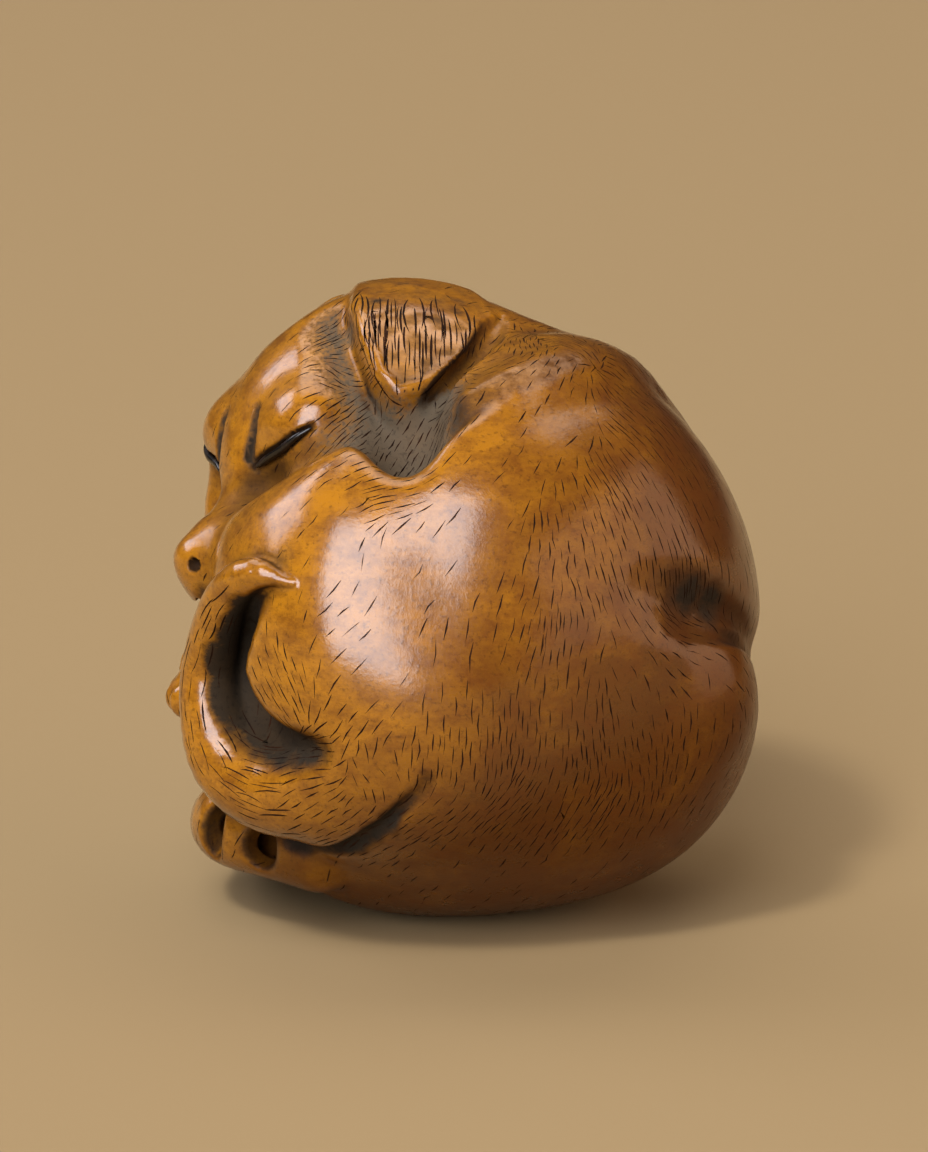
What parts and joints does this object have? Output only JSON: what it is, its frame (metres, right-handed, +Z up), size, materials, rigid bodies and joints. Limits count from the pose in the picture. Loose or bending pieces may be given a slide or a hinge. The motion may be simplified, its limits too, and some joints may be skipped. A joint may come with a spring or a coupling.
{
  "type": "carved netsuke",
  "caption": "Carved boxwood netsuke: a puppy asleep, curled into a ball with its head on its hind legs, with dark inlaid eyes and a cord channel in a hind foot.",
  "frame": {"origin": "middle of the small flat on the rump that the carving stands on", "axes": "+Z up; -Y towards the side with the haunch and tail; -X towards the nose"},
  "size_m": [0.0355, 0.0361, 0.0371],
  "materials": {
    "boxwood": "hand-polished, stained honey brown, worn",
    "black_horn": "polished black horn"
  },
  "bodies": {
    "root": {"puppy_carving": "boxwood", "left_eye_inlay": "black_horn", "right_eye_inlay": "black_horn"}
  },
  "joints": []
}
